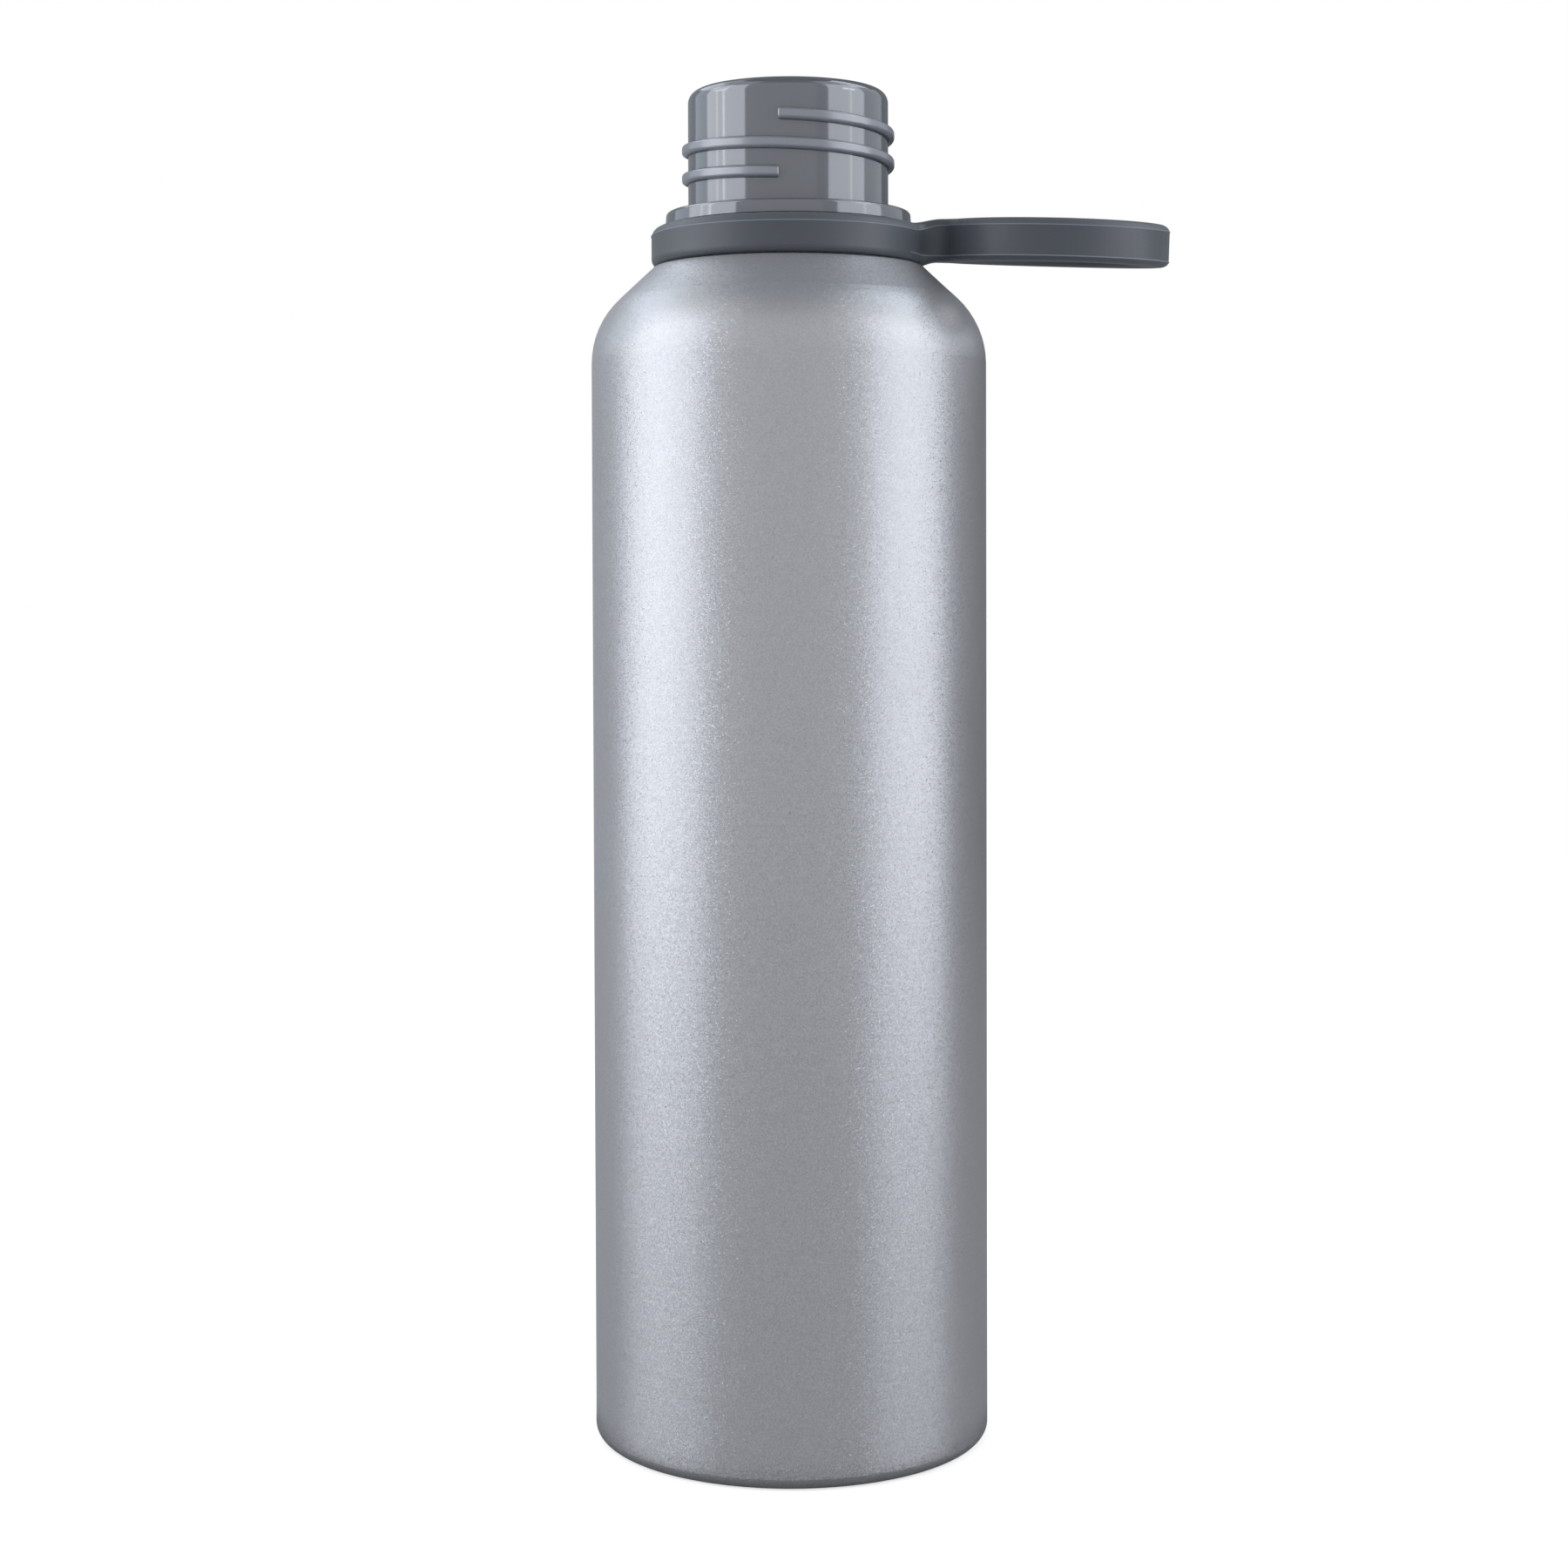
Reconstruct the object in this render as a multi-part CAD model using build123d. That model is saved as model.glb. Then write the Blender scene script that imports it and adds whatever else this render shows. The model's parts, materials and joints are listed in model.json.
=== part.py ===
from build123d import *
import os
from math import cos, radians, sin, sqrt, tan

# A double-wall steel drinks bottle, shown with its cap off. A moulded plastic collar stands on the steel neck
# and takes the cap. A rubber strap in the shape of an eight turns in the collar's groove and ends in a carry
# loop. The origin is the centre of the standing base, +Z runs up the bottle and the loop points along +X.
# Lengths are in millimetres and angles in degrees.

# Outer shell: straight wall, round shoulder, cone, flat ledge and a stepped neck. The shoulder's arc takes its
# share of the way in from wall to ledge, and the cone takes the rest.
body_radius = 35.0
shell_wall = 0.5
wall_top = 190.1
shoulder_angle = 47.0
shoulder_arc_share = 0.4423
ledge_edge_radius = 0.9
ledge_inset = 0.44
neck_step = 1.95
neck_fillet = 0.7
neck_step_radius = 0.5

# Outer base: a pressed cup with a standing ring, a recess for the cover and a dimple for the seal
base_corner_radius = 2.0
base_skirt_straight = 1.0
standing_ring_width = 1.7
recess_lip_radius = 0.8
recess_depth = 2.4
recess_corner_radius = 0.9
dimple_radius = 4.0
dimple_depth = 0.9
dimple_slope_width = 0.7
dimple_corner_radius = 0.3
seal_hole_radius = 0.8
seal_margin = 0.5
seal_recess = 0.2
seal_plug_proud = 0.7
cover_thickness = 0.8
cover_clearance = 0.25
cover_edge_radius = 0.2

# Inner liner: the vessel that holds the drink, hung from the mouth
vacuum_gap = 2.7
liner_wall = 0.4
liner_shoulder_radius = 11.0
liner_shoulder_angle = 62.0
liner_foot_drop = 1.05
liner_neck_fillet = 2.5
neck_gap = 0.8
lip_radius = 0.5
liner_base_corner_radius = 6.0
liner_skirt_straight = 0.7
base_gap = 2.4
getter_radius = 5.0
getter_thickness = 1.3
getter_offset = 13.0
getter_edge_radius = 0.3

# Neck collar: plastic sleeve with a cap seat, a flange and a groove for the strap
finish_radius = 17.75
finish_height = 21.5
finish_wall = 1.65
finish_fillet = 0.5
collar_clearance = 0.05
collar_foot_chamfer = 0.9
groove_wall = 2.15
flange_overhang = 1.6
flange_height = 2.35
flange_edge_radius = 0.6
flange_draft = 0.15
rim_outer_radius = 2.1
rim_inner_radius = 0.7
rim_thickness = 2.0
mouth_clearance = 0.1

# Mouth seal: silicone washer between the steel lip and the collar's rim
seal_thickness = 0.9
seal_edge_radius = 0.25

# Strap: a ring round the collar, a short flexible web and the carry loop, one moulding in life
strap_thickness = 6.8
strap_play = 0.22
ring_clearance = 0.3
ring_width = 3.8
ring_bevel_width = 2.1
ring_bevel_height = 1.7
ring_foot_radius = 1.1
loop_hole_radius = 14.9
loop_width = 5.5
loop_bevel_width = 1.2
loop_bevel_height = 0.8
web_gap = 2.4
web_half_length = 3.2
web_root = 1.4
waist_fillet = 3.0
waist_side_share = 0.87
loop_rise = 1.0
loop_twist = 6.0
loop_droop = 1.3

# Radii that follow, from the cap's neck finish out to the loop and in to the mouth
neck_radius = finish_radius - finish_wall - collar_clearance
neck_foot_radius = neck_radius + neck_step
groove_radius = neck_foot_radius + collar_clearance + groove_wall
flange_radius = groove_radius + flange_overhang
ring_radius = groove_radius + ring_clearance + ring_width
ledge_radius = ring_radius - ledge_inset
loop_radius = loop_hole_radius + loop_width
loop_centre = ring_radius + web_gap + loop_radius
liner_radius = body_radius - shell_wall - vacuum_gap
liner_neck_radius = neck_radius - shell_wall - neck_gap
mouth_radius = liner_neck_radius - liner_wall
recess_radius = body_radius - base_corner_radius - standing_ring_width - recess_lip_radius
seal_head_radius = dimple_radius - dimple_slope_width - seal_margin

# Heights that follow, from the base up to the rim
base_weld_z = base_corner_radius + base_skirt_straight
seal_seat_z = recess_depth + dimple_depth
liner_floor_z = recess_depth + shell_wall + base_gap
liner_weld_z = liner_floor_z + liner_base_corner_radius + liner_skirt_straight
shoulder_turn = radians(shoulder_angle)
shoulder_run = shoulder_arc_share * (body_radius - ledge_radius)
shoulder_radius = shoulder_run / (1 - cos(shoulder_turn))
cone_bottom = wall_top + shoulder_radius * sin(shoulder_turn)
cone_run = body_radius - shoulder_run - ledge_radius
ledge_z = cone_bottom + cone_run / tan(shoulder_turn)
flange_z = ledge_z + strap_thickness + 2 * strap_play
flange_top = flange_z + flange_height
rim_z = flange_top + finish_height
lip_z = rim_z - rim_thickness - seal_thickness
step_z = flange_z - neck_step
liner_turn = radians(liner_shoulder_angle)
liner_foot_z = ledge_z - liner_foot_drop
liner_cone_radius = liner_radius - liner_shoulder_radius * (1 - cos(liner_turn))
liner_cone_z = liner_foot_z - (liner_cone_radius - liner_neck_radius) / tan(liner_turn)
liner_shoulder_z = liner_cone_z - liner_shoulder_radius * sin(liner_turn)

# The strap's middle height, and the centres of the fillets beside its waist
strap_z = ledge_z + strap_play + strap_thickness / 2
waist_centre_x = (
    (ring_radius + waist_fillet) ** 2 - (loop_radius + waist_fillet) ** 2 + loop_centre**2
) / (2 * loop_centre)
waist_centre_y = sqrt((ring_radius + waist_fillet) ** 2 - waist_centre_x**2)


def turned(outline):
    """Turn a closed outline of radius and height about the bottle's axis."""
    return revolve(Plane.XZ * make_face(outline), Axis.Z)


def pressed(path, wall, side):
    """Turn a sheet of even wall about the axis, with one face along the path."""
    return turned(offset(path, amount=wall, side=side, closed=True))


def outline_of(*points):
    """Close a polyline of radius and height."""
    return Polyline(*points, close=True)


def rounded(solid, radius, height, rounding):
    """Round the solid's circular edge of one radius at one height."""
    circles = solid.edges().filter_by(GeomType.CIRCLE)
    edge = circles.sort_by(lambda e: abs(e.radius - radius) + abs(e.arc_center.Z - height))[0]
    return fillet(edge, rounding)


def make_outer_shell():
    """Draw the shell's wall, shoulder, ledge and stepped neck as one sheet."""
    cone_corner = (body_radius, wall_top + shoulder_radius * tan(shoulder_turn / 2))
    path = FilletPolyline(
        (body_radius, base_weld_z),
        cone_corner,
        (ledge_radius, ledge_z),
        (neck_foot_radius, ledge_z),
        (neck_foot_radius, step_z),
        (neck_radius, step_z + neck_step),
        (neck_radius, lip_z - liner_wall),
        radius=[shoulder_radius, ledge_edge_radius, neck_fillet, neck_step_radius, neck_step_radius],
    )
    return pressed(path, shell_wall, Side.LEFT)


def make_outer_base():
    """Press the base cup: skirt, standing ring, recess and dimple with the evacuation hole."""
    path = FilletPolyline(
        (body_radius, base_weld_z),
        (body_radius, 0),
        (recess_radius, 0),
        (recess_radius, recess_depth),
        (dimple_radius, recess_depth),
        (dimple_radius - dimple_slope_width, seal_seat_z),
        (seal_hole_radius, seal_seat_z),
        radius=[
            base_corner_radius,
            recess_lip_radius,
            recess_corner_radius,
            dimple_corner_radius,
            dimple_corner_radius,
        ],
    )
    return pressed(path, shell_wall, Side.RIGHT)


def make_base_cover():
    """Lay a plain disc in the recess."""
    radius = recess_radius - cover_clearance - recess_corner_radius
    bottom = recess_depth - cover_thickness
    disc = Pos(0, 0, bottom) * Cylinder(radius, cover_thickness, align=(Align.CENTER, Align.CENTER, Align.MIN))
    return rounded(disc, radius, bottom, cover_edge_radius)


def make_seal_bead():
    """Plug the evacuation hole with a domed head in the dimple."""
    head_height = dimple_depth - seal_recess
    dome_radius = (seal_head_radius**2 + head_height**2) / (2 * head_height)
    dome = Pos(0, 0, seal_seat_z - head_height + dome_radius) * Sphere(dome_radius)
    below_seat = Pos(0, 0, seal_seat_z - head_height / 2) * Cylinder(seal_head_radius, head_height)
    plug = Cylinder(
        seal_hole_radius, shell_wall + seal_plug_proud, align=(Align.CENTER, Align.CENTER, Align.MIN)
    )
    return (dome & below_seat) + Pos(0, 0, seal_seat_z) * plug


def make_inner_liner():
    """Draw the liner from its weld up to the lip that is rolled onto the shell's neck."""
    cone_corner = (liner_radius, liner_shoulder_z + liner_shoulder_radius * tan(liner_turn / 2))
    path = FilletPolyline(
        (liner_radius, liner_weld_z),
        cone_corner,
        (liner_neck_radius, liner_foot_z),
        (liner_neck_radius, lip_z - liner_wall),
        (neck_radius, lip_z - liner_wall),
        radius=[liner_shoulder_radius, liner_neck_fillet, lip_radius],
    )
    return pressed(path, liner_wall, Side.LEFT)


def make_inner_base():
    """Press the dish that closes the liner below its weld."""
    path = FilletPolyline(
        (liner_radius, liner_weld_z),
        (liner_radius, liner_floor_z),
        (0, liner_floor_z),
        radius=[liner_base_corner_radius],
    )
    return pressed(path, liner_wall, Side.RIGHT)


def make_getter():
    """Stick the getter puck under the inner base, inside the vacuum."""
    puck = Cylinder(getter_radius, getter_thickness, align=(Align.CENTER, Align.CENTER, Align.MAX))
    puck = rounded(puck, getter_radius, -getter_thickness, getter_edge_radius)
    return Pos(getter_offset, 0, liner_floor_z) * puck


def make_neck_collar():
    """Mould the collar: rim, cap seat, flange, strap groove and a bore stepped like the steel neck."""
    bore = neck_radius + collar_clearance
    foot_bore = neck_foot_radius + collar_clearance
    lip_bore = mouth_radius + mouth_clearance
    section = outline_of(
        (foot_bore + collar_foot_chamfer, ledge_z),
        (groove_radius, ledge_z),
        (groove_radius, flange_z),
        (flange_radius, flange_z),
        (flange_radius - flange_draft, flange_top),
        (finish_radius, flange_top),
        (finish_radius, rim_z),
        (lip_bore, rim_z),
        (lip_bore, rim_z - rim_thickness),
        (bore, rim_z - rim_thickness),
        (bore, step_z + neck_step),
        (foot_bore, step_z),
        (foot_bore, ledge_z + collar_foot_chamfer),
    )
    collar = turned(section)
    for radius, height, rounding in (
        (finish_radius, rim_z, rim_outer_radius),
        (lip_bore, rim_z, rim_inner_radius),
        (flange_radius - flange_draft, flange_top, flange_edge_radius),
        (finish_radius, flange_top, finish_fillet),
    ):
        collar = rounded(collar, radius, height, rounding)
    return collar


def make_mouth_seal():
    """Lay the washer on the steel lip, under the collar's rim."""
    inner = mouth_radius + lip_radius
    outer = neck_radius
    washer = turned(
        outline_of(
            (inner, lip_z),
            (outer, lip_z),
            (outer, lip_z + seal_thickness),
            (inner, lip_z + seal_thickness),
        )
    )
    return rounded(washer, inner, lip_z + seal_thickness, seal_edge_radius)


def strap_share(x):
    """Ease from the ring's level at 0 to the loop's tilt at 1 across the web."""
    share = (x - waist_centre_x + web_half_length) / (2 * web_half_length)
    share = min(max(share, 0), 1)
    return share * share * (3 - 2 * share)


def waist_width(x):
    """Half the waist's width in plan, from the round fillets between ring and loop."""
    run = min(abs(x - waist_centre_x), waist_fillet * waist_side_share)
    return waist_centre_y - sqrt(waist_fillet**2 - run**2)


def loop_place():
    """Tilt the loop about the web: the far side up, the tip down and the root a little high."""
    lift = Pos(waist_centre_x, 0, strap_z + loop_rise)
    return lift * Rot(0, loop_droop, 0) * Rot(loop_twist, 0, 0)


def strap_ring_blank():
    """Turn the ring that sits in the collar's groove."""
    inner = groove_radius + ring_clearance
    low = strap_z - strap_thickness / 2
    high = strap_z + strap_thickness / 2
    ring = turned(
        outline_of(
            (inner, low),
            (ring_radius, low),
            (ring_radius, high - ring_bevel_height),
            (ring_radius - ring_bevel_width, high),
            (inner, high),
        )
    )
    return rounded(ring, ring_radius, low, ring_foot_radius)


def strap_loop_blank():
    """Turn the carry loop with its bevelled edges, then tilt it."""
    half = strap_thickness / 2
    ring = turned(
        outline_of(
            (loop_hole_radius, -half + loop_bevel_height),
            (loop_hole_radius + loop_bevel_width, -half),
            (loop_radius - loop_bevel_width, -half),
            (loop_radius, -half + loop_bevel_height),
            (loop_radius, half - loop_bevel_height),
            (loop_radius - loop_bevel_width, half),
            (loop_hole_radius + loop_bevel_width, half),
            (loop_hole_radius, half - loop_bevel_height),
        )
    )
    return loop_place() * Pos(loop_centre - waist_centre_x, 0, 0) * ring


def waist_section(x):
    """One bevelled cross-section of the web."""
    share = strap_share(x)
    wide = waist_width(x)
    half = strap_thickness / 2
    section = Polyline(
        (-wide, -half + loop_bevel_height),
        (-wide + loop_bevel_width, -half),
        (wide - loop_bevel_width, -half),
        (wide, -half + loop_bevel_height),
        (wide, half - loop_bevel_height),
        (wide - loop_bevel_width, half),
        (-wide + loop_bevel_width, half),
        (-wide, half - loop_bevel_height),
        close=True,
    )
    droop = tan(radians(loop_droop)) * max(x - waist_centre_x, 0)
    place = Pos(x, 0, strap_z + loop_rise * share - droop) * Rot(loop_twist * share, 0, 0)
    return place * (Plane.YZ * make_face(section))


def make_strap():
    """Join ring, web and loop into one strap and part it at the ends of the web."""
    reach = web_half_length + web_root
    steps = 6
    sections = [waist_section(waist_centre_x - reach + 2 * reach * n / steps) for n in range(steps + 1)]
    strap = strap_ring_blank() + loft(sections) + strap_loop_blank()
    web_start = Plane.YZ.offset(waist_centre_x - web_half_length)
    web_end = Plane.YZ.offset(waist_centre_x + web_half_length)
    ring = split(strap, bisect_by=web_start, keep=Keep.BOTTOM)
    rest = split(strap, bisect_by=web_start, keep=Keep.TOP)
    web = split(rest, bisect_by=web_end, keep=Keep.BOTTOM)
    loop = split(rest, bisect_by=web_end, keep=Keep.TOP)
    return ring, web, loop


def main():
    """Build every sub-part and write one STEP file for each."""
    os.makedirs("parts", exist_ok=True)
    strap_ring, strap_web, strap_loop = make_strap()
    parts = {
        "outer_shell": make_outer_shell(),
        "outer_base": make_outer_base(),
        "base_cover": make_base_cover(),
        "seal_bead": make_seal_bead(),
        "inner_liner": make_inner_liner(),
        "inner_base": make_inner_base(),
        "getter": make_getter(),
        "neck_collar": make_neck_collar(),
        "mouth_seal": make_mouth_seal(),
        "strap_ring": strap_ring,
        "strap_web": strap_web,
        "strap_loop": strap_loop,
    }
    for name, part in parts.items():
        part.label = name
        export_step(part, f"parts/{name}.step")


main()
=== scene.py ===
import json
import math

import bmesh
import bpy
from bpy.props import FloatProperty, FloatVectorProperty, PointerProperty
from bpy.types import Operator, Panel, PropertyGroup
from mathutils import Matrix, Vector


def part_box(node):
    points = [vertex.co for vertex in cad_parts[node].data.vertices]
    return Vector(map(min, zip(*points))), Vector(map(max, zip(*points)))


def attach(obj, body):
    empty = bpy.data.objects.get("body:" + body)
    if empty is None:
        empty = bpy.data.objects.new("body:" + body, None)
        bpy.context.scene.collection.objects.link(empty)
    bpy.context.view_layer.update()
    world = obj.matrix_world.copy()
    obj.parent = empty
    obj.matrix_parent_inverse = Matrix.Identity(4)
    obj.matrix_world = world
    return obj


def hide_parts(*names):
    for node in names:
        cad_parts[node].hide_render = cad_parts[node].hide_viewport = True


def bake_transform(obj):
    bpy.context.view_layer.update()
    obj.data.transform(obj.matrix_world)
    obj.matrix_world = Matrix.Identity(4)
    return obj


bl_info = {
    "name": "Drinks Bottle with Carry Strap",
    "version": (1, 0, 0),
    "blender": (4, 5, 0),
    "location": "View3D > Sidebar > Bottle",
    "description": "Finishes, cap thread and rubber strap of a double-wall drinks bottle",
    "category": "Add Mesh",
}

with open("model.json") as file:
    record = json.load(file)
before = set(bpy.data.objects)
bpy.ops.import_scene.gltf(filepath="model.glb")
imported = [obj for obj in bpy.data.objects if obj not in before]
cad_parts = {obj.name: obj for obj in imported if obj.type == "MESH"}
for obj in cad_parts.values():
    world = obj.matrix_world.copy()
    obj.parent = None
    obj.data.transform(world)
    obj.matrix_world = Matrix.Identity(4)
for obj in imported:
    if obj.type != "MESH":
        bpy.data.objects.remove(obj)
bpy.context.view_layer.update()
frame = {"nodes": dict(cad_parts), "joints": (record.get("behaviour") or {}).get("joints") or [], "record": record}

MM = 0.001
MOUNTS = {mount["name"]: mount for mount in frame["record"]["mounts"]}
JOINTS = {joint["name"]: joint for joint in frame["joints"]}
FINISH_RADIUS = MOUNTS["cap_neck"]["dims"]["r_mm"] * MM
RING_RADIUS = -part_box("strap_ring")[0].x
RING_MIDDLE = JOINTS["strap_swivel"]["pos_m"][2]
LOOP_HOLE_RADIUS = MOUNTS["carry_loop"]["dims"]["r_mm"] * MM

# Parts of the thread's height: how deep its foot lies in the neck, how round its crest is, and
# how its ends are rounded, as insets and rises of one step after another
THREAD_SUNK = 0.3
THREAD_ROUNDING = 0.36
THREAD_END_STEPS = ((0.06, 0.17), (0.13, 0.13), (0.17, 0.05))
THREAD_STEPS_PER_TURN = 96

# Corners along the strap's arcs and holes, the cuts across it that let it bend, and where the
# cuts start as a share of the ring's radius
RING_STEPS = 120
WAIST_STEPS = 24
LOOP_STEPS = 112
HOLE_STEPS = 160
BEND_CUTS = 40
BEND_START = 0.8

# Rounding at the ring's hole, and how much higher the loop's upper slope is than its lower one
RING_HOLE_EDGE = 0.0003
UPPER_SLOPE = 1.3

# The camera, fitted to the photograph: lens in millimetres, shift as a share of the picture,
# step to the side in metres, tilt and roll in radians
CAMERA_LENS = 61.756
CAMERA_SHIFT = -0.0912
CAMERA_SIDE = -0.00099
CAMERA_TILT = 0.024
CAMERA_ROLL = -0.003

# Brightness that the floor adds where the camera or a reflection sees it, so that it reads white
FLOOR_LIFT = 0.62

# Boards round the set: name, from and to in degrees from the camera's side, distance, bottom and
# top in metres, level where 1 is white, and share of blue
BOARDS = (
    ("left_strip", -50, -33, 0.72, 0, 1.6, 0.76),
    ("front_board", -33, 32, 0.72, 0, 0.98, 0.75),
    ("front_high_board", -42, 38, 0.715, 0.98, 1.65, 0.32),
    ("right_strip", 32, 46, 0.72, 0, 1.6, 0.62),
    ("left_back_board", -180, -106, 0.72, 0, 0.29, 0.36, 0.05),
    ("right_back_board", 96, 180, 0.72, 0, 0.29, 0.03, 0.05),
    ("left_neck_board", -132, -106, 0.72, 0.29, 0.6, 1.1, 0.1),
    ("left_rear_board", -180, -132, 0.72, 0.29, 0.65, 0.35, 0.05),
    ("right_neck_board", 96, 134, 0.72, 0.29, 0.5, 0.85, 0.05),
    ("right_rear_board", 134, 180, 0.72, 0.29, 0.65, 0.2, 0.08),
    ("left_high_board", -150, -98, 0.72, 0.62, 1.08, 2.15, 0.08),
    ("right_high_board", 88, 124, 0.72, 0.74, 1.7, 2.5, 0.08),
    ("rear_high_board", 124, 210, 0.725, 0.65, 1.6, 0.18, 0.08),
    ("left_line_outer", -89, -86.5, 0.56, 0, 0.76, 3.7),
    ("left_line_inner", -79, -76.5, 0.56, 0, 0.76, 4.5),
    ("left_hot_board", -94, -74, 0.565, 0.4, 0.47, 4.2),
    ("right_line", 74, 77, 0.56, 0, 0.76, 3.2),
    ("right_hot_board", 66, 83, 0.565, 0.4, 0.47, 5.0),
)


# Sizes and colours that a user would change


class CoatSettings(PropertyGroup):
    """The silver coat on the steel."""

    colour: FloatVectorProperty(
        name="Coat Colour",
        description="Colour of the silver coat",
        default=(0.425, 0.433, 0.46),
        size=3,
        min=0.0,
        max=1.0,
        subtype="COLOR",
    )
    roughness: FloatProperty(
        name="Coat Roughness",
        description="How far the coat spreads a reflection",
        default=0.36,
        min=0.0,
        max=1.0,
        subtype="FACTOR",
    )
    metal_share: FloatProperty(
        name="Metal Share",
        description="Share of the coat that mirrors as metal; the rest scatters",
        default=0.6,
        min=0.0,
        max=1.0,
        subtype="FACTOR",
    )
    flake_size: FloatProperty(
        name="Flake Size",
        description="Width of one metal flake in the coat",
        default=0.00016,
        min=0.00005,
        unit="LENGTH",
        subtype="DISTANCE",
    )
    flake_tilt: FloatProperty(
        name="Flake Tilt",
        description="How far the flakes lie out of the surface",
        default=0.105,
        min=0.0,
        max=1.0,
        subtype="FACTOR",
    )


class CollarSettings(PropertyGroup):
    """The plastic neck collar and its cap thread."""

    colour: FloatVectorProperty(
        name="Plastic Colour",
        description="Colour of the moulded collar",
        default=(0.105, 0.113, 0.132),
        size=3,
        min=0.0,
        max=1.0,
        subtype="COLOR",
    )
    thread_proud: FloatProperty(
        name="Thread Height",
        description="How far the thread stands out of the neck",
        default=0.0011,
        min=0.0002,
        unit="LENGTH",
        subtype="DISTANCE",
    )
    thread_width: FloatProperty(
        name="Thread Width",
        description="Width of the thread ridge at its foot",
        default=0.00245,
        min=0.0005,
        unit="LENGTH",
        subtype="DISTANCE",
    )
    thread_crest: FloatProperty(
        name="Thread Crest",
        description="Width of the thread's crest before rounding, as a share of its foot",
        default=0.62,
        min=0.2,
        max=1.0,
        subtype="FACTOR",
    )
    thread_pitch: FloatProperty(
        name="Thread Pitch",
        description="Height that one turn of the thread climbs",
        default=0.00497,
        min=0.001,
        unit="LENGTH",
        subtype="DISTANCE",
    )
    thread_turns: FloatProperty(
        name="Thread Turns",
        description="Length of the thread in turns",
        default=1.995,
        min=0.25,
    )
    thread_top: FloatProperty(
        name="Thread Start",
        description="Drop from the rim to the middle of the thread's first end",
        default=0.0066,
        min=0.001,
        unit="LENGTH",
        subtype="DISTANCE",
    )
    thread_angle: FloatProperty(
        name="Thread Start Angle",
        description="Direction of the thread's first end, from the loop's side",
        default=math.radians(-94.4),
        unit="ROTATION",
        subtype="ANGLE",
    )


class StrapSettings(PropertyGroup):
    """The rubber strap: a ring, a waist and a carry loop in one moulding."""

    colour: FloatVectorProperty(
        name="Rubber Colour",
        description="Colour of the strap",
        default=(0.060, 0.0705, 0.086),
        size=3,
        min=0.0,
        max=1.0,
        subtype="COLOR",
    )
    thickness: FloatProperty(
        name="Strap Thickness",
        description="Height of the strap",
        default=0.0068,
        min=0.001,
        unit="LENGTH",
        subtype="DISTANCE",
    )
    ring_hole_radius: FloatProperty(
        name="Ring Hole Radius",
        description="Radius of the hole round the collar",
        default=0.0205,
        min=0.005,
        unit="LENGTH",
        subtype="DISTANCE",
    )
    loop_width: FloatProperty(
        name="Loop Width",
        description="Width of the loop's band",
        default=0.0055,
        min=0.001,
        unit="LENGTH",
        subtype="DISTANCE",
    )
    web_gap: FloatProperty(
        name="Web Gap",
        description="Gap between ring and loop that the waist fills",
        default=0.0024,
        min=0.0001,
        unit="LENGTH",
        subtype="DISTANCE",
    )
    waist_fillet: FloatProperty(
        name="Waist Fillet",
        description="Radius of the rounding beside the waist",
        default=0.003,
        min=0.0005,
        unit="LENGTH",
        subtype="DISTANCE",
    )
    web_shift: FloatProperty(
        name="Web Shift",
        description="How far towards the ring the strap starts to rise into the loop",
        default=0.0016,
        unit="LENGTH",
        subtype="DISTANCE",
    )
    web_half_length: FloatProperty(
        name="Web Half Length",
        description="Half the length over which the waist turns from ring to loop",
        default=0.0026,
        min=0.0005,
        unit="LENGTH",
        subtype="DISTANCE",
    )
    ring_foot: FloatProperty(
        name="Ring Foot Radius",
        description="Rounding under the ring's outer edge",
        default=0.0011,
        min=0.0001,
        unit="LENGTH",
        subtype="DISTANCE",
    )
    ring_bevel: FloatProperty(
        name="Ring Bevel Width",
        description="Width of the slope on the ring's upper edge",
        default=0.0018,
        min=0.0001,
        unit="LENGTH",
        subtype="DISTANCE",
    )
    ring_bevel_height: FloatProperty(
        name="Ring Bevel Height",
        description="Height of the slope on the ring's upper edge",
        default=0.0014,
        min=0.0001,
        unit="LENGTH",
        subtype="DISTANCE",
    )
    loop_bevel: FloatProperty(
        name="Loop Bevel Width",
        description="Width of the slope on the loop's edges",
        default=0.0015,
        min=0.0001,
        unit="LENGTH",
        subtype="DISTANCE",
    )
    loop_bevel_height: FloatProperty(
        name="Loop Bevel Height",
        description="Height of the slope on the loop's edges",
        default=0.0008,
        min=0.0001,
        unit="LENGTH",
        subtype="DISTANCE",
    )
    loop_extra: FloatProperty(
        name="Loop Extra Thickness",
        description="How much thicker the loop is than the ring",
        default=0.0006,
        unit="LENGTH",
        subtype="DISTANCE",
    )
    seam_line: FloatProperty(
        name="Seam Line",
        description="Height of the fine raised line that the mould leaves at the slopes",
        default=0.0001,
        min=0.0,
        unit="LENGTH",
        subtype="DISTANCE",
    )
    loop_settle: FloatProperty(
        name="Loop Settle",
        description="How far the loop sinks back from its twist",
        default=math.radians(0.8),
        unit="ROTATION",
        subtype="ANGLE",
    )
    tip_drop: FloatProperty(
        name="Tip Drop",
        description="How far the loop's tip hangs below its middle line",
        default=0.00015,
        unit="LENGTH",
        subtype="DISTANCE",
    )
    arch: FloatProperty(
        name="Loop Arch",
        description="How far the loop's middle rises above its ends",
        default=0.0002,
        unit="LENGTH",
        subtype="DISTANCE",
    )


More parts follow.
